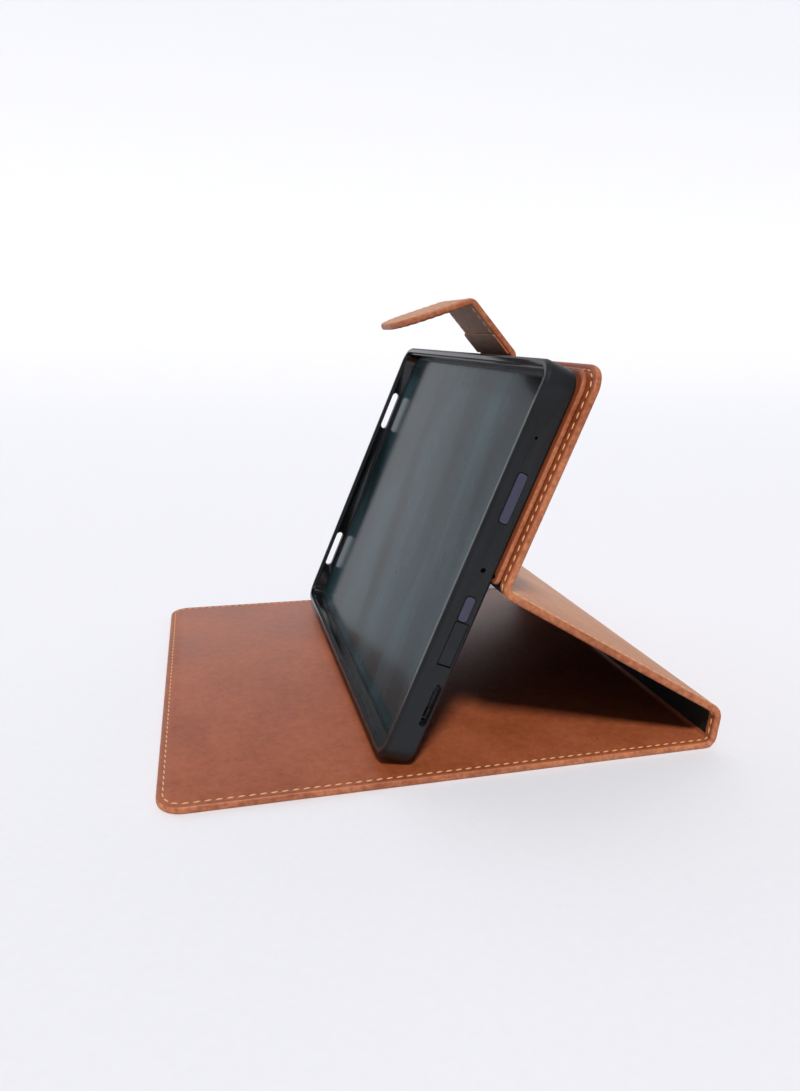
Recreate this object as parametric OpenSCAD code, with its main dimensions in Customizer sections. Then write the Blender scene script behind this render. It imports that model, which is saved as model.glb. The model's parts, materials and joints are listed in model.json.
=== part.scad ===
// An e-reader held in a moulded tray, in a leather folio that folds up into a desk stand.
// +X runs from the front leaf's free edge to the spine, +Y away from the reader's near
// side, +Z up. The folio stands on z = 0, with the origin at the middle of its footprint.

/* [Folio leaves] */
// Width of every leaf, along the folds
leaf_w = 188; // [182:1:200]
// Length of the front leaf, from its free edge to the first fold
front_len = 199.2; // [190:0.1:210]
// Thickness of a finished leaf
leaf_t = 2.8; // [2.4:0.1:3.4]
// Thickness of the stiff board inside a leaf
board_t = 0.9; // [0.6:0.1:1.2]
// Thickness of a leaf's lining
lining_t = 0.85; // [0.6:0.05:1]
// Distance from a leaf's edge to its board
turn_in = 5; // [3:0.5:8]
// Radius of the leaves' free corners
corner_r = 9; // [4:1:14]
// Distance from a fold's axis to the leaf beside it
fold_gap = 2.8; // [1.8:0.1:3.2]

/* [Folds at rest] */
// Distance between the two folds of the spine
spine_len = 13.1; // [11:0.1:16]
// Slope of the spine
spine_angle = 84.7; // [80:0.1:90]
// Distance from the spine to the middle fold
lower_len = 101.6; // [96:0.1:106]
// Slope of the lower back leaf
lower_angle = 149.3; // [147:0.1:151]
// Length of the upper back leaf, from the middle fold to its top edge
upper_len = 77.9; // [72:0.1:84]
// Slope of the upper back leaf and of the e-reader
lean = 68; // [66:0.5:70]

/* [Closing tab] */
// Width of the tab
tab_w = 36; // [28:1:44]
// Thickness of the tab
tab_t = 2.6; // [2.2:0.1:3]
// Distance between the tab's fold and its crease
bridge_len = 27.4; // [22:0.1:32]
// Slope of the tab's first length
bridge_angle = 132.5; // [125:0.5:140]
// Length of the tab's flap, from the crease to its round end
flap_len = 32.4; // [26:0.1:38]
// Slope of the flap
flap_angle = 198.9; // [190:0.1:205]

/* [Tray] */
// Height of the tray, up its slope
tray_len = 144; // [138:0.5:146]
// Width of the tray
tray_w = 179; // [170:0.5:180]
// Depth of the tray, from its back to its lip
tray_d = 11.5; // [10.5:0.1:12.5]
// Thickness of the tray's walls
wall = 3.2; // [2.8:0.1:3.6]
// Thickness of the tray's floor
floor_t = 1.2; // [1:0.1:1.4]
// Width of the small step inside the tray's lip
ledge_w = 0.7; // [0.5:0.1:1]
// Depth of that step
ledge_d = 1.6; // [1:0.1:1.6]
// Height of the glass above the tray's back
glass_top = 5; // [4.8:0.1:5.4]
// Radius of the tray's corners
tray_r = 8; // [6:0.5:11]
// Length of the tray below the middle fold
tray_drop = 70; // [69:0.1:71]

/* [Side wall] */
// Length of the page key
page_key_len = 17; // [14:0.5:19]
// Length of the power key
power_key_len = 8.6; // [7:0.1:10]
// Height of both keys' faces
key_h = 3.2; // [2.8:0.1:3.4]
// Clearance round each key and round the card door
key_gap = 0.3; // [0.25:0.05:0.35]
// Distance that a key is pressed
key_travel = 0.5; // [0.3:0.1:0.5]
// Length of the card door
door_len = 15.6; // [13:0.1:17]
// Length of the charging slot
port_len = 15.8; // [13:0.1:17]
// Length of each long slot in the far wall
far_slot_len = 19.5; // [15:0.5:22]

/* [Hidden] */
$fn = 48;

leather = "#B4693F";
leather_inside = "#9A5637";
board_grey = "#8D8A84";
tray_black = "#1E1F26";
key_grey = "#4C4A5C";

// Where the folds' axes lie, in the plane of the side view, from the free edge.
mid_t = leaf_t / 2;
front_fold = [front_len, mid_t];
function step(from, angle, distance) = from + distance * [cos(angle), sin(angle)];
rear_fold = step(front_fold, spine_angle, spine_len);
mid_fold = step(rear_fold, lower_angle, lower_len);
// The footprint runs from the free edge to the outer face of the spine.
footprint = rear_fold[0] + mid_t * sin(spine_angle);
mount_t = 1.8;
mount_gap = 0.6;
mount_stack = mount_t + mount_gap + mid_t;
tab_root_gap = 1.4;
tab_root = step(mid_fold, lean, upper_len + tab_root_gap);
tab_crease = step(tab_root, bridge_angle, bridge_len);

// A leaf's layers, as heights above its middle plane.
skin_bottom = -mid_t;
skin_top = mid_t - lining_t;
board_bottom = skin_top - board_t;

// The tray's stack, as heights above its back.
glass_t = 0.7;
guide_t = 0.4;
panel_t = 0.6;
panel_bottom = glass_top - glass_t - guide_t - panel_t;
open_a0 = wall;
open_a1 = tray_len - wall;
open_w = tray_w - 2 * wall;
gasket_w = 1;
ring_w = 5;
near_y = -tray_w / 2;
pocket_d = 2.6;

// Places up the near wall, from the tray's bottom edge, and heights above its back.
port_at = [24.6, 2.7];
door_at = [47.2, 4.2];
power_at = [60, 4.8];
speaker_at = [74, 4.9];
page_at = [99.2, 5.4];
mic_at = [119.5, 6.4];
far_slots_at = [30, 110];
far_slot_z = 8;
far_slot_h = 3.6;
port_h = 2.6;
door_h = 4.6;
door_t = 1.2;
key_t = 1.8;
key_proud = 0.3;
key_corner = 1;
speaker_hole_r = 0.9;
mic_hole_r = 0.5;
hole_depth = 2.2;
magnet_r = 5;
magnet_t = 0.7;
magnet_gap = 0.1;

// Four screws near the corners and one half way up the far side.
screw_in = 5.9;
screw_r = 0.75;
screw_head_r = 1.45;
screw_head_t = 0.5;
screw_depth = 0.6;
screw_gap = 0.05;
screw_places = concat(
  [for (a = [screw_in, tray_len - screw_in], side = [-1, 1]) [a, side * (open_w / 2 - 12)]],
  [[tray_len / 2, open_w / 2 - 2.7]]);

function arc(cx, cy, r, from, to) =
  [for (i = [0:10]) [cx + r * cos(from + (to - from) * i / 10),
                     cy + r * sin(from + (to - from) * i / 10)]];

// The outline of a plate that is rounded at its low end by r0 and at its high end by r1.
function plate(x0, x1, w, r0, r1) = concat(
  r0 > 0 ? arc(x0 + r0, -w / 2 + r0, r0, 180, 270) : [[x0, -w / 2]],
  r1 > 0 ? arc(x1 - r1, -w / 2 + r1, r1, 270, 360) : [[x1, -w / 2]],
  r1 > 0 ? arc(x1 - r1, w / 2 - r1, r1, 0, 90) : [[x1, w / 2]],
  r0 > 0 ? arc(x0 + r0, w / 2 - r0, r0, 90, 180) : [[x0, w / 2]]);

module slab(x0, x1, w, bottom, top, r0 = 0, r1 = 0) {
  translate([0, 0, bottom])
    linear_extrude(height = top - bottom) polygon(plate(x0, x1, w, r0, r1));
}

// A slab lies along +X from a fold; its lining is on its +Z side.
module along(fold, angle) {
  translate([fold[0] - footprint / 2, 0, fold[1]]) rotate([0, -angle, 0]) children();
}
module on_front() { along([0, mid_t], 0) children(); }
module on_spine() { along(front_fold, spine_angle) children(); }
module on_lower() { along(rear_fold, lower_angle) children(); }
module on_upper() { along(mid_fold, lean) children(); }
module on_bridge() { along(tab_root, bridge_angle) children(); }
module on_flap() { along(tab_crease, flap_angle) children(); }
// The tray's own place: +X up its slope, +Z out of the glass, z = 0 on its back.
module on_tray() { on_upper() translate([-tray_drop, 0, mount_stack]) children(); }

// A leaf of turned leather, with a pocket for its board.
module leaf_skin(x0, x1, m0, m1, r0 = 0, r1 = 0) {
  color(leather) difference() {
    slab(x0, x1, leaf_w, skin_bottom, skin_top, r0, r1);
    slab(x0 + m0, x1 - m1, leaf_w - 2 * turn_in, board_bottom, skin_top + 1);
  }
}
module leaf_board(x0, x1, m0, m1) {
  color(board_grey) slab(x0 + m0, x1 - m1, leaf_w - 2 * turn_in, board_bottom, skin_top);
}
module leaf_lining(x0, x1, r0 = 0, r1 = 0) {
  color(leather_inside) slab(x0, x1, leaf_w, skin_top, mid_t, r0, r1);
}

front_end = front_len - fold_gap;
magnet_at = 14;
module front_outer_skin() { on_front() leaf_skin(0, front_end, turn_in, 2, corner_r, 0); }
module front_board() {
  on_front() difference() {
    leaf_board(0, front_end, turn_in, 2);
    translate([magnet_at, 0, board_bottom - 1])
      cylinder(r = magnet_r + magnet_gap, h = board_t + 2);
  }
}
module front_lining() { on_front() leaf_lining(0, front_end, corner_r, 0); }
module front_leaf_magnet() {
  color("silver") on_front() translate([magnet_at, 0, board_bottom])
    cylinder(r = magnet_r, h = magnet_t);
}

spine_end = spine_len - fold_gap;
module spine_skin() { on_spine() leaf_skin(fold_gap, spine_end, 1.5, 1.5); }
module spine_board() { on_spine() leaf_board(fold_gap, spine_end, 1.5, 1.5); }
module spine_lining() { on_spine() leaf_lining(fold_gap, spine_end); }

lower_end = lower_len - fold_gap;
module lower_back_skin() { on_lower() leaf_skin(fold_gap, lower_end, 2, 2); }
module lower_back_board() { on_lower() leaf_board(fold_gap, lower_end, 2, 2); }
module lower_back_lining() { on_lower() leaf_lining(fold_gap, lower_end); }

module upper_back_skin() { on_upper() leaf_skin(fold_gap, upper_len, 2, turn_in, 0, corner_r); }
module upper_back_board() { on_upper() leaf_board(fold_gap, upper_len, 2, turn_in); }
module upper_back_lining() { on_upper() leaf_lining(fold_gap, upper_len, 0, corner_r); }

// The second leather layer, which is bonded to the tray's back and joined to the leaf
// behind it by a pad that is smaller all round.
mount_a0 = tray_drop + 1;
mount_a1 = tray_len + 1.5;
module mount_leather() {
  color(leather) on_tray() slab(mount_a0, mount_a1, leaf_w - 6, -mount_t, 0, 2, corner_r - 1);
}
module mount_pad() {
  color("dimgray") on_tray()
    slab(mount_a0 + 12, mount_a1 - 12, leaf_w - 40, -mount_t - mount_gap, -mount_t, 3, 3);
}

tab_mid = tab_t / 2;
tab_split = 0.3;
tab_gap = 1.6;
flap_r = 13;
tab_magnet_at = flap_len - 13;
module tab_bridge_leather() {
  color(leather) on_bridge()
    slab(tab_root_gap, bridge_len - tab_gap, tab_w, -tab_mid, tab_split);
}
module tab_bridge_lining() {
  color(leather_inside) on_bridge()
    slab(tab_root_gap, bridge_len - tab_gap, tab_w, tab_split, tab_mid);
}
module tab_flap_leather() {
  color(leather) on_flap() difference() {
    slab(tab_gap, flap_len, tab_w, -tab_mid, tab_split, 0, flap_r);
    translate([tab_magnet_at, 0, tab_split - magnet_t])
      cylinder(r = magnet_r + magnet_gap, h = magnet_t + 1);
  }
}
module tab_flap_lining() {
  color(leather_inside) on_flap() slab(tab_gap, flap_len, tab_w, tab_split, tab_mid, 0, flap_r);
}
module tab_magnet() {
  color("silver") on_flap() translate([tab_magnet_at, 0, tab_split - magnet_t])
    cylinder(r = magnet_r, h = magnet_t);
}

// A cut into the near wall (side -1) or the far wall (side 1): place is [a, height].
module wall_cut(place, outline, depth, side) {
  translate([place[0], side * (tray_w / 2 + 1), place[1]])
    rotate([side * 90, 0, 0]) linear_extrude(height = depth + 1) polygon(outline);
}
function slot_outline(length, height) = concat(
  arc(length / 2 - height / 2, 0, height / 2, -90, 90),
  arc(-length / 2 + height / 2, 0, height / 2, 90, 270));
function key_outline(length, gap) =
  plate(-length / 2 - gap, length / 2 + gap, key_h + 2 * gap, key_corner + gap, key_corner + gap);

edge = 1.1;
module tray_body() {
  hull() {
    slab(edge, tray_len - edge, tray_w - 2 * edge, 0, 0.01, tray_r - edge, tray_r - edge);
    slab(0, tray_len, tray_w, edge, edge + 0.01, tray_r, tray_r);
  }
  slab(0, tray_len, tray_w, edge, tray_d - edge, tray_r, tray_r);
  hull() {
    slab(0, tray_len, tray_w, tray_d - edge - 0.01, tray_d - edge, tray_r, tray_r);
    slab(edge, tray_len - edge, tray_w - 2 * edge, tray_d - 0.01, tray_d,
         tray_r - edge, tray_r - edge);
  }
}
door_pivot_a = door_at[0] - door_len / 2 + door_t / 2;
module tray_shell() {
  color(tray_black) on_tray() difference() {
    tray_body();
    slab(open_a0, open_a1, open_w, floor_t, tray_d + 1, tray_r - wall, tray_r - wall);
    slab(open_a0 - ledge_w, open_a1 + ledge_w, open_w + 2 * ledge_w, tray_d - ledge_d, tray_d + 1,
         tray_r - wall + ledge_w, tray_r - wall + ledge_w);
    for (place = screw_places)
      translate([place[0], place[1], floor_t - screw_depth - 0.1])
        cylinder(r = screw_r + screw_gap, h = 2);
    for (a = far_slots_at)
      wall_cut([a, far_slot_z], slot_outline(far_slot_len, far_slot_h), wall + 1, 1);
    wall_cut(page_at, key_outline(page_key_len, key_gap), pocket_d, -1);
    wall_cut(power_at, key_outline(power_key_len, key_gap), pocket_d, -1);
    wall_cut(port_at, slot_outline(port_len, port_h), wall + 1, -1);
    translate([door_pivot_a - door_t / 2 - key_gap, near_y - 1, door_at[1] - door_h / 2 - key_gap])
      cube([door_len + 2 * key_gap, 1 + door_t + key_gap, door_h + 2 * key_gap]);
    for (hole = [[speaker_at, speaker_hole_r], [mic_at, mic_hole_r]])
      translate([hole[0][0], near_y - 1, hole[0][1]]) rotate([-90, 0, 0])
        cylinder(r = hole[1], h = 1 + hole_depth);
  }
}

// The frame that the display and the boards are fixed to.
ring_a0 = open_a0 + 0.2;
ring_a1 = open_a1 - 0.2;
module mid_frame() {
  color("#5A5A5E") on_tray() difference() {
    slab(ring_a0, ring_a1, open_w - 0.4, floor_t, panel_bottom, tray_r - wall, tray_r - wall);
    slab(ring_a0 + ring_w, 61, open_w - 0.4 - 2 * ring_w, 0, tray_d, 1, 1);
    slab(64, ring_a1 - ring_w, open_w - 0.4 - 2 * ring_w, 0, tray_d, 1, 1);
    for (place = screw_places) translate([place[0], place[1], 0]) {
      cylinder(r = screw_r + screw_gap, h = tray_d);
      translate([0, 0, panel_bottom - screw_head_t - 0.1])
        cylinder(r = screw_head_r + 0.15, h = tray_d);
    }
    for (bay = [[port_at[0], port_len - 2], [door_at[0], door_len - 1]])
      translate([bay[0] - bay[1] / 2, near_y, 0]) cube([bay[1], wall + ring_w + 3, tray_d]);
  }
}
module frame_screws() {
  color("silver") on_tray() for (place = screw_places) translate([place[0], place[1], 0]) {
    translate([0, 0, floor_t - screw_depth])
      cylinder(r = screw_r, h = panel_bottom - floor_t + screw_depth - 0.5);
    translate([0, 0, panel_bottom - screw_head_t - 0.05])
      cylinder(r = screw_head_r, h = screw_head_t);
  }
}

// Inside, every part lies on the tray's floor and stops just under the display.
under_display = 0.1;
stack_t = panel_bottom - floor_t - under_display;
tape_t = 0.15;
battery_size = [62, 86];
module battery() {
  color("#30343C") on_tray() translate([68, -12, floor_t + tape_t])
    cube([battery_size[0], battery_size[1], stack_t - tape_t]);
}
module battery_tape() {
  color("ivory") on_tray() for (a = [74, 114])
    translate([a, -8, floor_t]) cube([8, battery_size[1] - 8, tape_t]);
}
pcb_t = 0.8;
module main_board() {
  color("#1F5A3C") on_tray() translate([13, -70, floor_t]) cube([44, 90, pcb_t]);
}
can_t = 0.2;
module shield_can() {
  can = [24, 34, stack_t - pcb_t - under_display];
  color("silver") on_tray() translate([22, -50, floor_t + pcb_t]) difference() {
    cube(can);
    translate([can_t, can_t, -1]) cube([can[0] - 2 * can_t, can[1] - 2 * can_t, can[2] + 1 - can_t]);
  }
}
// A flat cable that rises from the board in a step and lies against the display's back.
flex_t = 0.15;
flex_w = 22;
module display_flex() {
  rise = panel_bottom - floor_t - pcb_t;
  color("#A8702C") on_tray() translate([50, 25, floor_t + pcb_t]) rotate([90, 0, 0])
    linear_extrude(height = flex_w)
      polygon([[0, 0], [3, 0], [3, rise - flex_t], [5, rise - flex_t], [5, rise],
               [3 - flex_t, rise], [3 - flex_t, flex_t], [0, flex_t]]);
}
stack_a0 = open_a0 + gasket_w + 1;
stack_a1 = open_a1 - gasket_w - 1;
stack_w = open_w - 2 * gasket_w - 2;
module display_panel() {
  color("#8D9694") on_tray()
    slab(stack_a0, stack_a1, stack_w, panel_bottom, panel_bottom + panel_t, 2, 2);
}
module light_guide() {
  color("#D7E4E6") on_tray()
    slab(stack_a0, stack_a1, stack_w, panel_bottom + panel_t, glass_top - glass_t, 2, 2);
}
module cover_glass() {
  color("#4F6062") on_tray() slab(open_a0 + gasket_w, open_a1 - gasket_w,
    open_w - 2 * gasket_w, glass_top - glass_t, glass_top, 3.8, 3.8);
}
module bezel_gasket() {
  color("#0D0E11") on_tray() difference() {
    slab(open_a0, open_a1, open_w, glass_top - glass_t, glass_top + 0.2, tray_r - wall, tray_r - wall);
    slab(open_a0 + gasket_w, open_a1 - gasket_w, open_w - 2 * gasket_w, 0, tray_d, 3.8, 3.8);
  }
}

// A key stands a little proud of the near wall and is pressed along +Y. Its switch leaves
// it the key's travel.
module wall_key(place, length) {
  translate([place[0], near_y - key_proud, place[1]]) rotate([90, 0, 180])
    linear_extrude(height = key_t) polygon(key_outline(length, 0));
}
switch_h = pocket_d - key_t + key_proud - key_travel - 0.1;
module page_key() { color(key_grey) on_tray() wall_key(page_at, page_key_len); }
module power_key() { color(key_grey) on_tray() wall_key(power_at, power_key_len); }
module key_switches() {
  color("gold") on_tray() for (place = [page_at, power_at])
    translate([place[0], near_y + pocket_d, place[1]]) rotate([90, 0, 0])
      cylinder(r = 1.2, h = switch_h);
}

// The card door turns outwards about a round edge at its lower end.
module card_door() {
  color(tray_black) on_tray() translate([door_pivot_a, near_y + door_t / 2, door_at[1] - door_h / 2]) {
    cylinder(r = door_t / 2, h = door_h);
    translate([0, -door_t / 2, 0]) cube([door_len - door_t / 2, door_t, door_h]);
  }
}
module card_socket() {
  color("silver") on_tray() translate([door_at[0] - 6, near_y + wall + 0.4, floor_t])
    cube([12, 7, stack_t]);
}
module usb_socket() {
  socket = [12, 6.5, stack_t];
  shell = 0.4;
  color("silver") on_tray() translate([port_at[0] - socket[0] / 2, near_y + wall + 0.1, floor_t])
    difference() {
      cube(socket);
      translate([shell, -1, shell]) cube([socket[0] - 2 * shell, socket[1], socket[2] - 2 * shell]);
    }
}
module microphone() {
  color("gold") on_tray() translate([mic_at[0] + 5, -76, floor_t]) cube([4, 3, 1.1]);
}
module speaker() {
  color("#3B3B40") on_tray() translate([70, -76, floor_t]) cube([18, 12, 1.9]);
}
module antenna_strip() {
  color("#B87333") on_tray() translate([131.5, -40, floor_t]) cube([3, 80, 0.2]);
}

front_outer_skin();
front_board();
front_lining();
front_leaf_magnet();
spine_skin();
spine_board();
spine_lining();
lower_back_skin();
lower_back_board();
lower_back_lining();
upper_back_skin();
upper_back_board();
upper_back_lining();
mount_leather();
mount_pad();
tab_bridge_leather();
tab_bridge_lining();
tab_flap_leather();
tab_flap_lining();
tab_magnet();
tray_shell();
mid_frame();
frame_screws();
battery();
battery_tape();
main_board();
shield_can();
display_flex();
display_panel();
light_guide();
cover_glass();
bezel_gasket();
page_key();
power_key();
key_switches();
card_door();
card_socket();
usb_socket();
microphone();
speaker();
antenna_strip();
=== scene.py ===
import json
import math

import bmesh
import bpy
from mathutils import Matrix, Vector


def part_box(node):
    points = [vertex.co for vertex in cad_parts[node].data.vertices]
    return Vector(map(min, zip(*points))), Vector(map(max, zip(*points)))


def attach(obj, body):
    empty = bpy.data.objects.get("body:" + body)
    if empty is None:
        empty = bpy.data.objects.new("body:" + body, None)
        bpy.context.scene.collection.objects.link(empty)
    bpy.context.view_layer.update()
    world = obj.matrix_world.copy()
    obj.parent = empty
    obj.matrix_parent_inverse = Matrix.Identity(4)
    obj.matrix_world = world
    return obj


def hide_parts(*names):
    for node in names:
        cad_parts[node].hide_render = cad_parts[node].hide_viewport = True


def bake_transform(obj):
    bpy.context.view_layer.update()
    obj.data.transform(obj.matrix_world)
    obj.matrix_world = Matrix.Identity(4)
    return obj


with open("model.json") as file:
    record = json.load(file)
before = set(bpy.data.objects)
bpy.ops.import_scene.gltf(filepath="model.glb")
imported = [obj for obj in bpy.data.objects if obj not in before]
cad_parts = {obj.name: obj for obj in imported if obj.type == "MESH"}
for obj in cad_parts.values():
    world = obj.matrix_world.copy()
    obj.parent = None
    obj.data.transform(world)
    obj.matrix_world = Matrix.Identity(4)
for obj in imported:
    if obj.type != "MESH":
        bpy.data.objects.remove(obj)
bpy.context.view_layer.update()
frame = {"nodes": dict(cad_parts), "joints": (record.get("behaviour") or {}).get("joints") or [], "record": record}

# ---- Where the folds are --------------------------------------------------------------
# The folio is one strip of leather with three folds, and a tab with two. Each leaf's place
# is a matrix: X away from its fold, Y along the fold, Z out of its lined side.
folds = {j["name"]: Vector(j["pos_m"]) for j in frame["joints"] if "pos_m" in j}
tray_normal = Vector(next(j["axis"] for j in frame["joints"] if j["name"] == "card_door_swing"))


def leaf_place(fold, direction):
    """The matrix of a leaf that starts at a fold and lies along a direction."""
    x = Vector((direction.x, 0, direction.z)).normalized()
    y = Vector((0, 1, 0))
    z = x.cross(y)
    return Matrix(((x.x, y.x, z.x, fold.x), (x.y, y.y, z.y, 0), (x.z, y.z, z.z, fold.z), (0, 0, 0, 1)))


def box_centre(node):
    """The middle of a CAD node's box."""
    low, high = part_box(node)
    return (low + high) / 2


up_slope = Vector((0, 1, 0)).cross(tray_normal)
places = {
    "front_leaf": leaf_place(folds["spine_fold"], Vector((1, 0, 0))),
    "spine": leaf_place(folds["spine_fold"], folds["rear_fold"] - folds["spine_fold"]),
    "lower_back": leaf_place(folds["rear_fold"], folds["mid_fold"] - folds["rear_fold"]),
    "upper_back": leaf_place(folds["mid_fold"], up_slope),
    "tab_bridge": leaf_place(folds["tab_fold"], folds["tab_crease"] - folds["tab_fold"]),
    "tab_flap": leaf_place(folds["tab_crease"], box_centre("tab_magnet") - folds["tab_crease"]),
}


def extent(place, *nodes):
    """Lowest and highest corner of CAD nodes, measured in a leaf's own place."""
    back = place.inverted()
    points = [back @ v.co for n in nodes for v in frame["nodes"][n].data.vertices]
    low = Vector([min(p[i] for p in points) for i in range(3)])
    high = Vector([max(p[i] for p in points) for i in range(3)])
    return low, high


# ---- Tanned leathers ------------------------------------------------------------------
# Cowhide, drum-dyed cognac and lightly waxed, so it has a fine pebbled grain, cloudy
# colour where the dye took unevenly, and a soft sheen. The near-black lining is painted shade:
# it stands for the shadow under the stand, on the spine and the lower back.
MM = 0.001


def linear(hex_colour):
    """An sRGB hex colour as linear RGBA."""
    parts = [int(hex_colour[i:i + 2], 16) / 255 for i in (1, 3, 5)]
    return [c / 12.92 if c <= 0.04045 else ((c + 0.055) / 1.055) ** 2.4 for c in parts] + [1.0]


def add(tree, kind, settings=None, links=None):
    """A new node, with its settings and the sockets that are linked to its inputs."""
    made = tree.nodes.new("ShaderNode" + kind)
    for key, value in (settings or {}).items():
        if hasattr(made, key) and key not in made.inputs:
            setattr(made, key, value)
        else:
            made.inputs[key].default_value = value
    for key, socket in (links or {}).items():
        tree.links.new(socket, made.inputs[key])
    return made


def two_tone(tree, amount, dark, light, start=0.0, stop=1.0):
    """A colour between two sRGB colours, by a socket's value."""
    ramp = add(tree, "ValToRGB", links={"Fac": amount})
    for element, position, colour in zip(ramp.color_ramp.elements, (start, stop), (dark, light)):
        element.position = position
        element.color = linear(colour)
    return ramp.outputs["Color"]


def new_material(name):
    """An empty material: its tree, shader and Object coordinates."""
    material = bpy.data.materials.new(name)
    material.use_nodes = True
    tree = material.node_tree
    shader = tree.nodes["Principled BSDF"]
    coordinates = add(tree, "TexCoord").outputs["Object"]
    return material, tree, shader, coordinates


def leather(name, dark, light, roughness, pebble_mm=1.1, grain_depth_mm=0.12, valley_shade=0.82):
    """Grained leather between two dye colours, with painted shade darkening the grain's valleys."""
    material, tree, shader, at = new_material(name)
    cloud = add(tree, "TexNoise", {"Scale": 1 / (38 * MM), "Detail": 4, "Roughness": 0.6}, {"Vector": at})
    mottle = add(tree, "TexNoise", {"Scale": 1 / (3.5 * MM), "Detail": 3}, {"Vector": at})
    both = add(tree, "MixRGB", {"Fac": 0.35},
               {"Color1": cloud.outputs["Fac"], "Color2": mottle.outputs["Fac"]})
    dyed = two_tone(tree, both.outputs["Color"], dark, light, 0.36, 0.66)
    warp = add(tree, "TexNoise", {"Scale": 1 / (4 * MM), "Detail": 2}, {"Vector": at})
    moved = add(tree, "MixRGB", {"Fac": 0.0012, "blend_type": "ADD"},
                {"Color1": at, "Color2": warp.outputs["Color"]})
    pebble = add(tree, "TexVoronoi", {"Scale": 1 / (pebble_mm * MM), "feature": "SMOOTH_F1"},
                 {"Vector": moved.outputs["Color"]})
    pore = add(tree, "TexNoise", {"Scale": 1 / (0.45 * MM), "Detail": 2}, {"Vector": at})
    grain = add(tree, "MixRGB", {"Fac": 0.35},
                {"Color1": pebble.outputs["Distance"], "Color2": pore.outputs["Fac"]})
    # Painted shade: the dyed colour is darkened in the valleys between the pebbles.
    valley = add(tree, "MapRange", {"From Min": 0.25, "From Max": 0.8, "To Min": 1.0, "To Max": valley_shade},
                 {"Value": pebble.outputs["Distance"]})
    shade = add(tree, "MixRGB", {"Fac": 1.0, "blend_type": "MULTIPLY"},
                {"Color1": dyed, "Color2": valley.outputs["Result"]})
    worn = add(tree, "MapRange", {"To Min": roughness - 0.07, "To Max": roughness + 0.1},
               {"Value": cloud.outputs["Fac"]})
    bump = add(tree, "Bump", {"Strength": 0.35, "Distance": grain_depth_mm * MM, "invert": True},
               {"Height": grain.outputs["Color"]})
    tree.links.new(shade.outputs["Color"], shader.inputs["Base Color"])
    tree.links.new(worn.outputs["Result"], shader.inputs["Roughness"])
    tree.links.new(bump.outputs["Normal"], shader.inputs["Normal"])
    shader.inputs["IOR"].default_value = 1.48
    shader.inputs["Coat Weight"].default_value = 0.06
    shader.inputs["Coat Roughness"].default_value = 0.35
    return material


outer_leather = leather("tanned_leather_cognac", "#AC6C42", "#C48A5C", 0.5)
inner_leather = leather("tanned_leather_inside", "#8C4422", "#A65A38", 0.46, pebble_mm=0.9)
edge_leather = leather("turned_leather_edge", "#9C4E29", "#CE8053", 0.52, pebble_mm=1.3, grain_depth_mm=0.3,
                       valley_shade=0.55)
# Painted shade: a near-black lining that stands for the shadow under the stand.
painted_shade_lining = leather("painted_shade_near_black_lining", "#0C0908", "#181210", 0.85, pebble_mm=0.7)
tab_lining = leather("brushed_split_leather", "#6E5548", "#8A6D5D", 0.8, pebble_mm=0.6)

# ---- Folio leaves ---------------------------------------------------------------------
# Each leaf is leather turned over a board and stitched to its lining, about 2.8 mm thick.
# The turning rounds the edges and shows as a border along the near-black linings, which are
# painted shade; the stitching pulls a shallow channel into both faces. A leaf is cut square
# where it meets a fold.
EDGE_ROUND = 0.95 * MM
STITCH_INSET = 2.2 * MM
CHANNEL_HALF = 0.7 * MM
CHANNEL_DEPTH = 0.22 * MM
TURNED_IN = 5 * MM
LINING_STEP = 0.15 * MM
LEAF_CORNER = 9 * MM
SPARE = 12 * MM  # cut off again at a fold
SAME_PLACE = 1e-7
FLAT_SIDE = 0.75  # how much of a face's normal points out of the leaf


def rounded_face(bm, low_x, high_x, half_w, low_r, high_r):
    """Give a mesh one flat face with round corners at either end."""
    made = bmesh.ops.create_grid(bm, x_segments=1, y_segments=1, size=1)
    for v in made["verts"]:
        v.co = Vector((high_x if v.co.x > 0 else low_x, half_w if v.co.y > 0 else -half_w, 0))
    for at_x, radius in ((low_x, low_r), (high_x, high_r)):
        if radius > 0:
            corners = [v for v in bm.verts if abs(v.co.x - at_x) < SAME_PLACE]
            bmesh.ops.bevel(bm, geom=corners, offset=radius, segments=10, profile=0.5,
                            affect="VERTICES", material=-1)


def rim_edges(bm, heights):
    """The edges that run round a slab at the given heights."""
    return [e for e in bm.edges
            if any(all(abs(v.co.z - h) < SAME_PLACE for v in e.verts) for h in heights)]


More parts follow.
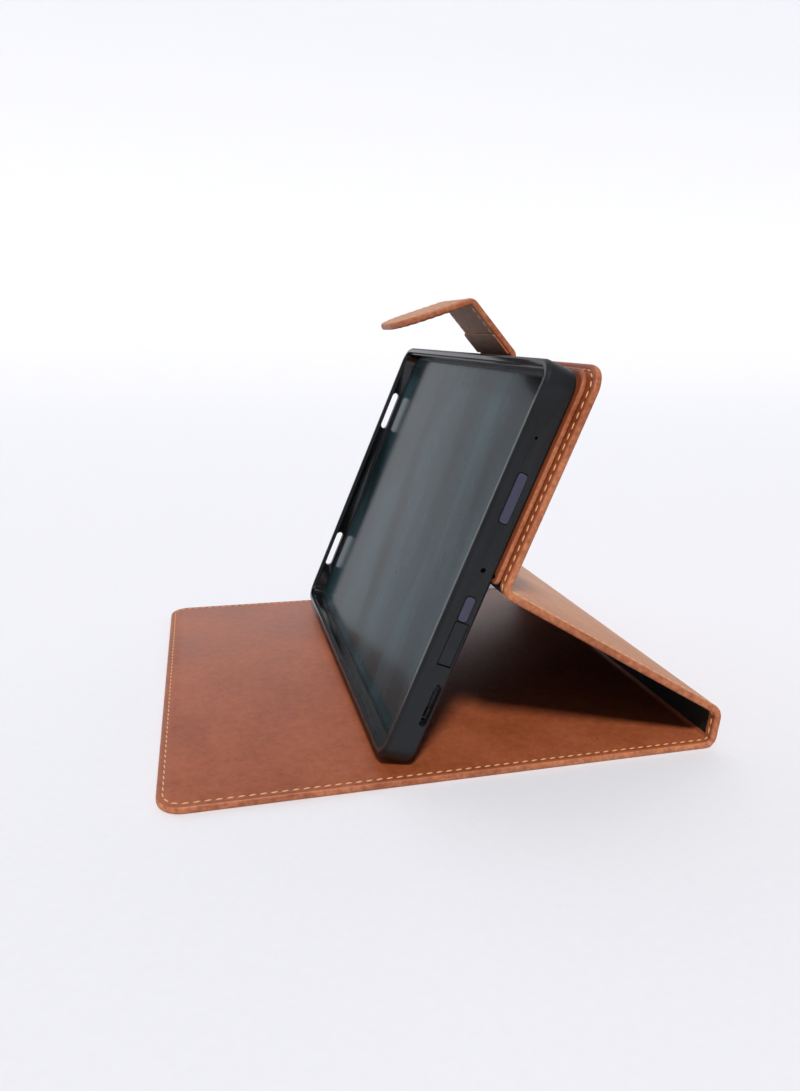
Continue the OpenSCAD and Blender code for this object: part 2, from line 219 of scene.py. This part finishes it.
def slab(low, high, low_r, high_r, channel=True, rounding=EDGE_ROUND, border=False):
    """A slab of leather with round edges, a stitching channel in both faces, and a lining that
    lies a little lower than the turned-in border."""
    bm = bmesh.new()
    rounded_face(bm, low.x, high.x, (high.y - low.y) / 2, low_r, high_r)
    bmesh.ops.translate(bm, verts=bm.verts, vec=(0, 0, low.z))
    grown = bmesh.ops.extrude_face_region(bm, geom=bm.faces[:])
    lifted = [v for v in grown["geom"] if isinstance(v, bmesh.types.BMVert)]
    bmesh.ops.translate(bm, verts=lifted, vec=(0, 0, high.z - low.z))
    bmesh.ops.recalc_face_normals(bm, faces=bm.faces)
    bmesh.ops.bevel(bm, geom=rim_edges(bm, (low.z, high.z)), offset=rounding, segments=4,
                    profile=0.5, affect="EDGES", material=-1)
    if channel:
        for way in (-1, 1):
            face = max(bm.faces, key=lambda f: f.normal.z * way * f.calc_area())
            steps = ((STITCH_INSET - CHANNEL_HALF - rounding, 0), (CHANNEL_HALF, -CHANNEL_DEPTH),
                     (CHANNEL_HALF, CHANNEL_DEPTH))
            for thickness, depth in steps:
                bmesh.ops.inset_region(bm, faces=[face], thickness=thickness, depth=depth)
            if border and way > 0:
                rest = TURNED_IN - STITCH_INSET - CHANNEL_HALF
                bmesh.ops.inset_region(bm, faces=[face], thickness=rest)
                bmesh.ops.inset_region(bm, faces=[face], thickness=LINING_STEP, depth=-LINING_STEP)
    return bm


def cut(bm, x, keep_below):
    """Cut a slab square at x, and close it."""
    geometry = bm.verts[:] + bm.edges[:] + bm.faces[:]
    done = bmesh.ops.bisect_plane(bm, geom=geometry, plane_co=(x, 0, 0), plane_no=(1, 0, 0),
                                  clear_outer=keep_below, clear_inner=not keep_below)
    rim = [e for e in done["geom_cut"] if isinstance(e, bmesh.types.BMEdge)]
    bmesh.ops.edgeloop_fill(bm, edges=rim)
    bmesh.ops.recalc_face_normals(bm, faces=bm.faces)


def finish_mesh(name, bm, place, materials, smooth_deg=40):
    """A mesh object at the origin, with its place in its vertices."""
    bm.transform(place)
    mesh = bpy.data.meshes.new(name)
    bm.to_mesh(mesh)
    bm.free()
    mesh.shade_smooth()
    mesh.set_sharp_from_angle(angle=math.radians(smooth_deg))
    for material in materials:
        mesh.materials.append(material)
    piece = bpy.data.objects.new(name, mesh)
    bpy.context.scene.collection.objects.link(piece)
    return piece


def paint_sides(bm, half_w=None):
    """Material 1 for the lined side, 2 for the edges and any border, and 0 for the outside."""
    for face in bm.faces:
        lined, outer = face.normal.z > FLAT_SIDE, face.normal.z < -FLAT_SIDE
        in_border = half_w and lined and abs(face.calc_center_median().y) > half_w - TURNED_IN
        face.material_index = 2 if in_border else 1 if lined else 0 if outer else 2


def leaf(name, body, nodes, fold_low, fold_high, radius, lining):
    """One leaf, cut where it meets a fold, riding on its body in place of its CAD layers."""
    place = places[body]
    low, high = extent(place, *nodes)
    longer_low = Vector((low.x - (SPARE if fold_low else 0), low.y, low.z))
    longer_high = Vector((high.x + (SPARE if fold_high else 0), high.y, high.z))
    border = lining is painted_shade_lining
    bm = slab(longer_low, longer_high, 0 if fold_low else radius, 0 if fold_high else radius,
              border=border)
    if fold_low:
        cut(bm, low.x, keep_below=False)
    if fold_high:
        cut(bm, high.x, keep_below=True)
    paint_sides(bm, high.y if border else None)
    piece = finish_mesh(name, bm, place, [outer_leather, lining, edge_leather])
    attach(piece, body)
    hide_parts(*nodes)
    return low, high


leaf_layers = ("skin", "board", "lining")
leaf_sizes = {
    "front_leaf": leaf("front_leaf", "front_leaf", ["front_outer_skin", "front_board", "front_lining"],
                       False, True, LEAF_CORNER, inner_leather),
    # The spine and the lower back are lined in painted shade.
    "spine": leaf("spine_leaf", "spine", ["spine_" + n for n in leaf_layers],
                  True, True, 0, painted_shade_lining),
    "lower_back": leaf("lower_back_leaf", "lower_back", ["lower_back_" + n for n in leaf_layers],
                       True, True, 0, painted_shade_lining),
    "upper_back": leaf("upper_back_leaf", "upper_back", ["upper_back_" + n for n in leaf_layers],
                       True, False, LEAF_CORNER, inner_leather),
}

# ---- Folds ----------------------------------------------------------------------------
# The same leather runs on through each fold. At rest a fold is a true arc that leaves both
# leaves at a tangent.
TAB_ROUND = 0.9 * MM
ARC_SIDE = 0.7  # how much of a face's normal points to or from the arc's centre


def arc_of_fold(body_a, body_b, size_a, sign):
    """A fold's turn, its arc's radius and centre, and how far the leaves stop from its axis."""
    low, high = size_a
    place_a, place_b = places[body_a], places[body_b]
    turn = math.acos(max(-1, min(1, place_a.col[0].xyz.dot(place_b.col[0].xyz))))
    gap = (place_a.inverted() @ place_b.translation).x - high.x
    radius = gap / math.tan(turn / 2)
    return turn, radius, Vector((high.x, 0, (low.z + high.z) / 2 + sign * radius)), gap


def bend(piece, body_a, body_b, gap):
    """Bake a piece's place at a fold into its vertices."""
    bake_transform(piece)


def fold(name, body_a, body_b, size_a, lining, sign, tab=False):
    """The leather through a fold: the end section of one leaf, spun to the start of the next."""
    low, high = size_a
    turn, _, centre, gap = arc_of_fold(body_a, body_b, size_a, sign)
    border = lining is painted_shade_lining
    bm = slab(Vector((high.x - SPARE, low.y, low.z)), Vector((high.x + SPARE, high.y, high.z)), 0, 0,
              channel=not tab, rounding=TAB_ROUND if tab else EDGE_ROUND, border=border)
    cut(bm, high.x, keep_below=True)
    end = max(bm.faces, key=lambda f: f.normal.x * f.calc_area())
    bmesh.ops.delete(bm, geom=[f for f in bm.faces if f is not end], context="FACES")
    bmesh.ops.spin(bm, geom=bm.faces[:] + bm.edges[:] + bm.verts[:], cent=centre,
                   axis=(0, -sign, 0), dvec=(0, 0, 0), angle=turn, steps=10, use_duplicate=False)
    bmesh.ops.remove_doubles(bm, verts=bm.verts, dist=SAME_PLACE)
    bmesh.ops.holes_fill(bm, edges=[e for e in bm.edges if e.is_boundary])
    bmesh.ops.recalc_face_normals(bm, faces=bm.faces)
    for face in bm.faces:
        out = face.calc_center_median() - centre
        radial = Vector((out.x, 0, out.z)).normalized().dot(face.normal)
        lined = radial * sign < 0
        in_border = border and lined and abs(out.y) > high.y - TURNED_IN
        face.material_index = 2 if abs(radial) < ARC_SIDE or in_border else 1 if lined else 0
    piece = finish_mesh(name, bm, places[body_a], [outer_leather, lining, edge_leather])
    bend(piece, body_a, body_b, gap)


fold("front_fold_leather", "front_leaf", "spine", leaf_sizes["front_leaf"], inner_leather, 1)
# The rear and mid folds are lined in painted shade, like the leaves either side.
fold("rear_fold_leather", "spine", "lower_back", leaf_sizes["spine"], painted_shade_lining, 1)
fold("mid_fold_leather", "lower_back", "upper_back", leaf_sizes["lower_back"], painted_shade_lining, -1)

# ---- Mounting leather -----------------------------------------------------------------
# A second layer of the same hide is bonded to the tray's back. A foam pad joins it to the
# leaf behind, so its stitched edge shows as a separate line with a dark gap.
MOUNT_FOOT_CORNER = 2 * MM
MOUNT_TOP_CORNER = 8 * MM
MOUNT_ROUND = 0.6 * MM
mount_low, mount_high = extent(places["upper_back"], "mount_leather")
mount = slab(mount_low, mount_high, MOUNT_FOOT_CORNER, MOUNT_TOP_CORNER, rounding=MOUNT_ROUND)
paint_sides(mount)
mount_piece = finish_mesh("mounting_leather", mount, places["upper_back"],
                          [outer_leather, inner_leather, edge_leather])
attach(mount_piece, "upper_back")
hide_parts("mount_leather")

# ---- Closing tab ----------------------------------------------------------------------
# Two short lengths of lined leather with a crease between them; the flap's end is round
# and holds the magnet.
TAB_END = 13 * MM
tab_lengths = (("tab_bridge", 0), ("tab_flap", TAB_END))
for body, end_r in tab_lengths:
    layers = [body + "_leather", body + "_lining"]
    low, high = extent(places[body], *layers)
    leaf_sizes[body] = (low, high)
    far = Vector((high.x + (0 if end_r else SPARE), high.y, high.z))
    bm = slab(Vector((low.x - SPARE, low.y, low.z)), far, 0, end_r, channel=False, rounding=TAB_ROUND)
    cut(bm, low.x, keep_below=False)
    if not end_r:
        cut(bm, high.x, keep_below=True)
    paint_sides(bm)
    piece = finish_mesh(body + "_leather_lined", bm, places[body],
                        [outer_leather, tab_lining, edge_leather])
    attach(piece, body)
    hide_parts(*layers)
fold("tab_crease_leather", "tab_bridge", "tab_flap", leaf_sizes["tab_bridge"], tab_lining, 1, tab=True)

# A short patch of the same hide is sewn inside the root, where the tab bends most.
PATCH_START, PATCH_END, PATCH_THICK = 0.5 * MM, 11 * MM, 0.8 * MM
PATCH_CORNER, PATCH_END_CORNER, PATCH_ROUND = 0.5 * MM, 2 * MM, 0.3 * MM
bridge_low, bridge_high = leaf_sizes["tab_bridge"]
patch_low = Vector((bridge_low.x + PATCH_START, bridge_low.y, bridge_high.z))
patch_high = Vector((bridge_low.x + PATCH_END, bridge_high.y, bridge_high.z + PATCH_THICK))
patch = slab(patch_low, patch_high, PATCH_CORNER, PATCH_END_CORNER, channel=False, rounding=PATCH_ROUND)
paint_sides(patch)
patch_piece = finish_mesh("tab_root_patch", patch, places["tab_bridge"],
                          [inner_leather, tab_lining, edge_leather])
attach(patch_piece, "tab_bridge")

# The tab's root is joined to the leaf's top edge, and has the tab's own width and thickness.
root_high = Vector((leaf_sizes["upper_back"][1].x, bridge_high.y, bridge_high.z))
fold("tab_root_leather", "upper_back", "tab_bridge", (bridge_low, root_high), tab_lining, 1, tab=True)

# ---- Stitching ------------------------------------------------------------------------
# Bonded polyester thread in a cream-orange, lock-stitched at 3.5 mm. Each stitch is a short
# bead of thread that dips into the leather at both ends and lies a little askew.
def thread():
    """Cream-orange thread with a fibrous surface."""
    material, tree, shader, at = new_material("bonded_polyester_thread")
    fibre = add(tree, "TexNoise", {"Scale": 1 / (0.4 * MM), "Detail": 2}, {"Vector": at})
    dyed = two_tone(tree, fibre.outputs["Fac"], "#CF8A50", "#F0C08C")
    bump = add(tree, "Bump", {"Strength": 0.4, "Distance": 0.08 * MM}, {"Height": fibre.outputs["Fac"]})
    tree.links.new(dyed, shader.inputs["Base Color"])
    tree.links.new(bump.outputs["Normal"], shader.inputs["Normal"])
    shader.inputs["Roughness"].default_value = 0.6
    return material


thread_material = thread()
PITCH = 3.5 * MM
STITCH = Vector((2.6 * MM, 0.62 * MM, 0.5 * MM))
ASKEW = math.radians(7)
SUNK = 0.1 * MM
LEAST_TURN = 0.1 * MM
TAB_INSET = 2.4 * MM
SHARE_OF_PITCH = 0.75


def edge_path(hinge_x, free_x, half_w, inset, radius):
    """The line that a row of stitches follows: up one side, round the free end, and back."""
    way = 1 if free_x > hinge_x else -1
    y, turn = half_w - inset, max(radius - inset, LEAST_TURN)
    centre_x = free_x - way * (inset + turn)
    quarter = [math.radians(9 * i) for i in range(11)]
    near = [(centre_x + way * turn * math.sin(t), -y + turn - turn * math.cos(t)) for t in quarter]
    far = [(x, -near_y) for x, near_y in reversed(near)]
    return [(hinge_x, -y)] + near + far + [(hinge_x, y)]


def walk(path, pitch):
    """Points and directions at an even pitch along a path."""
    lengths = [math.dist(a, b) for a, b in zip(path, path[1:])]
    total = sum(lengths)
    count = max(1, round(total / pitch))
    done, found = 0, 0.0
    for i in range(count):
        target = (i + 0.5) * total / count
        while found + lengths[done] < target and done < len(lengths) - 1:
            found += lengths[done]
            done += 1
        a, b = Vector(path[done]), Vector(path[done + 1])
        yield a.lerp(b, (target - found) / lengths[done]), (b - a).normalized()


def bead(bm, place):
    """Add one stitch, from its matrix: where it is, which way it lies, and its size."""
    bmesh.ops.create_uvsphere(bm, u_segments=8, v_segments=5, radius=0.5, matrix=place)


def sew(name, body, rows):
    """Rows of stitches, each a path with the height that it lies at, on one body."""
    bm = bmesh.new()
    for path, height in rows:
        for point, way in walk(path, PITCH):
            angle = math.atan2(way.y, way.x) + ASKEW
            lie = Matrix.Translation((point.x, point.y, height)) @ Matrix.Rotation(angle, 4, "Z")
            bead(bm, lie @ Matrix.Diagonal((*STITCH, 1)))
    piece = finish_mesh(name, bm, places[body], [thread_material], smooth_deg=80)
    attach(piece, body)


def sides(low_x, high_x, half_w, inset):
    """Two straight rows, for a leaf with a fold at both ends."""
    return [[(low_x, y), (high_x, y)] for y in (-half_w + inset, half_w - inset)]


for body, free_end in (("front_leaf", "low"), ("lower_back", None), ("spine", None), ("upper_back", "high")):
    low, high = leaf_sizes[body]
    if free_end is None:
        paths = sides(low.x, high.x, high.y, STITCH_INSET)
    elif free_end == "low":
        paths = [edge_path(high.x, low.x, high.y, STITCH_INSET, LEAF_CORNER)]
    else:
        paths = [edge_path(low.x, high.x, high.y, STITCH_INSET, LEAF_CORNER)]
    rows = [(path, z) for path in paths for z in (low.z + SUNK, high.z - SUNK)]
    sew(body + "_stitching", body, rows)
mount_path = edge_path(mount_low.x, mount_high.x, mount_high.y, STITCH_INSET, MOUNT_TOP_CORNER)
sew("mounting_stitching", "upper_back", [(mount_path, mount_low.z + SUNK)])


def sew_fold(body_a, body_b, size_a, sign, inset):
    """Stitches round the outside and the inside of a fold, near both its edges."""
    low, high = size_a
    turn, radius, centre, gap = arc_of_fold(body_a, body_b, size_a, sign)
    bm = bmesh.new()
    for reach in (radius + high.z - SUNK, radius - high.z + SUNK):
        count = max(1, round(reach * turn / PITCH))
        length = min(STITCH.x, SHARE_OF_PITCH * reach * turn / count)
        for i in range(count):
            t = (i + 0.5) * turn / count
            along = Vector((math.cos(t), 0, sign * math.sin(t)))
            outwards = Vector((math.sin(t), 0, -sign * math.cos(t)))
            for y in (low.y + inset, high.y - inset):
                at = centre + outwards * reach + Vector((0, y, 0))
                axes = Matrix((along, (0, 1, 0), -sign * outwards)).transposed().to_4x4()
                size = Matrix.Diagonal((length, STITCH.y, STITCH.z, 1))
                bead(bm, Matrix.Translation(at) @ axes @ size)
    piece = finish_mesh(body_a + "_fold_stitching", bm, places[body_a], [thread_material], smooth_deg=80)
    bend(piece, body_a, body_b, gap)


for body_a, body_b, sign in (("front_leaf", "spine", 1), ("spine", "lower_back", 1),
                             ("lower_back", "upper_back", -1)):
    sew_fold(body_a, body_b, leaf_sizes[body_a], sign, STITCH_INSET)
sew_fold("tab_bridge", "tab_flap", leaf_sizes["tab_bridge"], 1, TAB_INSET)
for body, end_r in tab_lengths:
    low, high = leaf_sizes[body]
    if end_r:
        paths = [edge_path(low.x, high.x, high.y, TAB_INSET, end_r)]
    else:
        paths = sides(low.x, high.x, high.y, TAB_INSET)
    sew(body + "_stitching", body, [(path, z) for path in paths for z in (low.z, high.z)])

# ---- Tray -----------------------------------------------------------------------------
# Injection-moulded ABS, black, with a fine spark-eroded texture outside and polished
# walls inside. The lip and every slot have a small moulded radius.
def moulded(name, dark, light, roughness, speck_mm, depth_mm, specular):
    """Moulded plastic with a spark-eroded texture."""
    material, tree, shader, at = new_material(name)
    speck = add(tree, "TexNoise", {"Scale": 1 / (speck_mm * MM), "Detail": 3}, {"Vector": at})
    haze = add(tree, "TexNoise", {"Scale": 1 / (22 * MM), "Detail": 3}, {"Vector": at})
    tint = two_tone(tree, haze.outputs["Fac"], dark, light, 0.35, 0.68)
    rub = add(tree, "MapRange", {"To Min": roughness - 0.06, "To Max": roughness + 0.08},
              {"Value": haze.outputs["Fac"]})
    bump = add(tree, "Bump", {"Strength": 0.3, "Distance": depth_mm * MM}, {"Height": speck.outputs["Fac"]})
    tree.links.new(tint, shader.inputs["Base Color"])
    tree.links.new(rub.outputs["Result"], shader.inputs["Roughness"])
    tree.links.new(bump.outputs["Normal"], shader.inputs["Normal"])
    shader.inputs["IOR"].default_value = 1.53
    shader.inputs["Specular IOR Level"].default_value = specular
    return material


tray_satin = moulded("abs_spark_eroded_black", "#0A0C0F", "#12151A", 0.48, 0.5, 0.03, 0.35)
tray_gloss = moulded("abs_polished_black", "#040607", "#090C0F", 0.14, 1.5, 0.01, 0.5)
LIP_CHAMFER, LIP_ROUND = 1.1 * MM, 0.55 * MM
EDGE_BREAK = 0.2 * MM
SHARP_TURN = math.radians(28)
GASKET_PLAY = 0.1 * MM
LEVEL_PLAY = 0.02 * MM
tray = bmesh.new()
tray.from_mesh(frame["nodes"]["tray_shell"].data)
bmesh.ops.remove_doubles(tray, verts=tray.verts, dist=0.002 * MM)
bmesh.ops.dissolve_limit(tray, angle_limit=math.radians(0.5), verts=tray.verts, edges=tray.edges)
to_tray = places["upper_back"].inverted()
gasket_low, gasket_high = extent(places["upper_back"], "bezel_gasket")
tray_low, tray_high = extent(places["upper_back"], "tray_shell")
rim_heights = [tray_low.z, tray_low.z + LIP_CHAMFER, tray_high.z - LIP_CHAMFER, tray_high.z]


def runs_round(edge):
    """Whether an edge runs round the tray at one of its chamfers or at its lip."""
    ends = [to_tray @ v.co for v in edge.verts]
    level = any(all(abs(p.z - h) < LEVEL_PLAY for p in ends) for h in rim_heights)
    return level and edge.is_manifold and edge.calc_face_angle() > SHARP_TURN


bmesh.ops.bevel(tray, geom=[e for e in tray.edges if runs_round(e)], offset=LIP_ROUND, segments=4,
                profile=0.5, affect="EDGES", material=-1, clamp_overlap=True)
for face in tray.faces:
    c = to_tray @ face.calc_center_median()
    in_length = gasket_low.x - GASKET_PLAY < c.x < gasket_high.x + GASKET_PLAY
    in_width = abs(c.y) < gasket_high.y + GASKET_PLAY
    face.material_index = 1 if in_length and in_width and c.z > gasket_low.z else 0
tray_piece = finish_mesh("moulded_tray", tray, Matrix.Identity(4), [tray_satin, tray_gloss],
                         smooth_deg=179)
moulded_radius = tray_piece.modifiers.new("moulded_radius", "BEVEL")
moulded_radius.width = EDGE_BREAK
moulded_radius.segments = 2
moulded_radius.limit_method = "ANGLE"
moulded_radius.angle_limit = SHARP_TURN
moulded_radius.harden_normals = True
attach(tray_piece, "upper_back")
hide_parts("tray_shell")

# ---- Screen ---------------------------------------------------------------------------
# Polished cover glass over a grey-green electrophoretic film. Wiping leaves long soft
# smears down the glass, which show as bands in its gloss.
SLOPE = math.atan2(up_slope.z, up_slope.x)
WIPE_ANGLE = math.radians(10)


def screen_glass():
    """Glass and film as one finish, with smears that run down the slope."""
    material, tree, shader, at = new_material("polished_glass_over_film")
    along = add(tree, "Mapping", {"Rotation": (0, SLOPE, -WIPE_ANGLE)}, {"Vector": at})
    stretch = add(tree, "Mapping", {"Scale": (1 / (120 * MM), 1 / (24 * MM), 1 / (120 * MM))},
                  {"Vector": along.outputs["Vector"]})
    smear = add(tree, "TexNoise", {"Scale": 1.0, "Detail": 2, "Roughness": 0.45},
                {"Vector": stretch.outputs["Vector"]})
    tint = two_tone(tree, smear.outputs["Fac"], "#0D1A1E", "#2D444A", 0.36, 0.68)
    haze = add(tree, "MapRange", {"To Min": 0.1, "To Max": 0.24}, {"Value": smear.outputs["Fac"]})
    tree.links.new(tint, shader.inputs["Base Color"])
    tree.links.new(haze.outputs["Result"], shader.inputs["Roughness"])
    shader.inputs["IOR"].default_value = 1.5
    shader.inputs["Specular IOR Level"].default_value = 0.12
    return material


# ---- Small parts and what lies inside --------------------------------------------------
# The rest keeps its CAD shape, so its finish goes straight onto its node. Each has the look
# of how that part is made: plated, wrapped, cast or printed.
def plain(name, dark, light, roughness, metallic, grain_mm, bump_mm=0.02):
    """A finish with fine mottling, for plated, cast, wrapped or printed parts."""
    material, tree, shader, at = new_material(name)
    mottle = add(tree, "TexNoise", {"Scale": 1 / (grain_mm * MM), "Detail": 3}, {"Vector": at})
    tint = two_tone(tree, mottle.outputs["Fac"], dark, light)
    bump = add(tree, "Bump", {"Strength": 0.3, "Distance": bump_mm * MM}, {"Height": mottle.outputs["Fac"]})
    tree.links.new(tint, shader.inputs["Base Color"])
    tree.links.new(bump.outputs["Normal"], shader.inputs["Normal"])
    shader.inputs["Roughness"].default_value = roughness
    shader.inputs["Metallic"].default_value = metallic
    return material


finishes = {
    "tray_plastic": tray_satin,
    "screen_glass": screen_glass(),
    "nickel": plain("nickel_plate", "#A9A9AC", "#C9C9CC", 0.3, 1, 1.5),
    "brass_contact": plain("brass_contact", "#A9823E", "#C9A25A", 0.35, 1, 1.5),
    "foam": plain("closed_cell_foam", "#26262A", "#3C3C42", 0.9, 0, 0.6, 0.1),
    "frame_alloy": plain("cast_magnesium", "#5B5C60", "#73747A", 0.5, 1, 0.9, 0.04),
    "battery_wrap": plain("shrink_wrap_film", "#1B1D22", "#2B2E36", 0.35, 0, 9),
    "circuit_board": plain("solder_resist", "#12402A", "#1C5A3B", 0.4, 0, 2.5),
    "flex_film": plain("polyimide_film", "#8A5416", "#B4752A", 0.3, 0, 4),
    "display_film": plain("electrophoretic_film", "#7C8583", "#949D9A", 0.7, 0, 0.8),
    "light_guide": plain("acrylic_light_guide", "#BFCBCE", "#D6E0E2", 0.15, 0, 6),
    "gasket_rubber": plain("moulded_silicone_black", "#07080A", "#101114", 0.55, 0, 1.2),
    "key_plastic": plain("abs_keycap_violet_grey", "#2F2E40", "#3D3C52", 0.45, 0, 0.8, 0.03),
    "speaker_plastic": plain("pbt_speaker_housing", "#1D1D20", "#2C2C30", 0.5, 0, 1.5),
}
for row in frame["record"]["subparts"]:
    node = frame["nodes"][row["node"]]
    if not node.hide_render:
        node.data.materials.clear()
        node.data.materials.append(finishes[row["material_slot"]])

# ---- Studio ---------------------------------------------------------------------------
# A pale sweep that leans back behind the object, so that the key lights it nearly as it
# lights the floor; one key light from above the near side; and an even white surround.
SUN_HEIGHT, SUN_ASIDE, SUN_WIDTH, SUN_STRENGTH = 54, -8, 9, 2.7
SURROUND_STRENGTH = 0.24
LEAN_BACK = 2 * (90 - SUN_HEIGHT) + 8
CURVE_RADIUS, CURVE_START, CURVE_STEPS = 1.6, 1.6, 12
FLOOR_FRONT, FLOOR_SIDE = -60.0, 60.0
WALL_LENGTH = 6.0


def studio_sweep():
    """The sweep's surface: a long floor, a curve and a leaning wall."""
    bm = bmesh.new()
    profile = [bm.verts.new((-FLOOR_SIDE, y, 0)) for y in (FLOOR_FRONT, CURVE_START)]
    for i in range(1, CURVE_STEPS + 1):
        t = math.radians(LEAN_BACK / CURVE_STEPS * i)
        profile.append(bm.verts.new((-FLOOR_SIDE, CURVE_START + CURVE_RADIUS * math.sin(t),
                                     CURVE_RADIUS - CURVE_RADIUS * math.cos(t))))
    end = profile[-1].co + WALL_LENGTH * Vector((0, math.cos(t), math.sin(t)))
    profile.append(bm.verts.new(end))
    rail = [bm.edges.new(pair) for pair in zip(profile, profile[1:])]
    grown = bmesh.ops.extrude_edge_only(bm, edges=rail)
    moved = [v for v in grown["geom"] if isinstance(v, bmesh.types.BMVert)]
    bmesh.ops.translate(bm, verts=moved, vec=(2 * FLOOR_SIDE, 0, 0))
    bmesh.ops.recalc_face_normals(bm, faces=bm.faces)
    return bm


UNDER_LEATHER = -0.05 * MM
paper = plain("matt_backdrop_paper", "#E9E9ED", "#EDEDF1", 0.95, 0, 3)
sweep = finish_mesh("studio_sweep", studio_sweep(), Matrix.Translation((0, 0, UNDER_LEATHER)), [paper],
                    smooth_deg=60)

world = bpy.data.worlds.new("white_surround")
world.use_nodes = True
world.node_tree.nodes["Background"].inputs["Color"].default_value = linear("#F2F3F8")
world.node_tree.nodes["Background"].inputs["Strength"].default_value = SURROUND_STRENGTH
bpy.context.scene.world = world

sun = bpy.data.lights.new("large_soft_key", "SUN")
sun.energy, sun.angle = SUN_STRENGTH, math.radians(SUN_WIDTH)
key_light = bpy.data.objects.new("large_soft_key", sun)
key_light.rotation_euler = (math.radians(90 - SUN_HEIGHT), math.radians(SUN_ASIDE), 0)
bpy.context.scene.collection.objects.link(key_light)

# ---- Camera ---------------------------------------------------------------------------
# Close and a little above the object, on the near side of the folio's free edge.
CAMERA_AT = Vector((-81.1, -316.1, 146.7)) * MM
YAW, PITCH_DOWN, ROLL = math.radians(14.5), math.radians(15.2), math.radians(1.1)
FOCAL, SENSOR = 25.57, 36
forward = Vector((math.sin(YAW) * math.cos(PITCH_DOWN), math.cos(YAW) * math.cos(PITCH_DOWN),
                  -math.sin(PITCH_DOWN)))
sideways = Vector((math.cos(YAW), -math.sin(YAW), 0))
upright = sideways.cross(forward)
right = sideways * math.cos(ROLL) + upright * math.sin(ROLL)
above = upright * math.cos(ROLL) - sideways * math.sin(ROLL)
lens = bpy.data.cameras.new("camera")
lens.lens, lens.sensor_width, lens.clip_start = FOCAL, SENSOR, 0.01
camera = bpy.data.objects.new("camera", lens)
camera.matrix_world = Matrix(((right.x, above.x, -forward.x, CAMERA_AT.x),
                              (right.y, above.y, -forward.y, CAMERA_AT.y),
                              (right.z, above.z, -forward.z, CAMERA_AT.z), (0, 0, 0, 1)))
bpy.context.scene.collection.objects.link(camera)
bpy.context.scene.camera = camera
bpy.context.scene.view_settings.view_transform = "Standard"
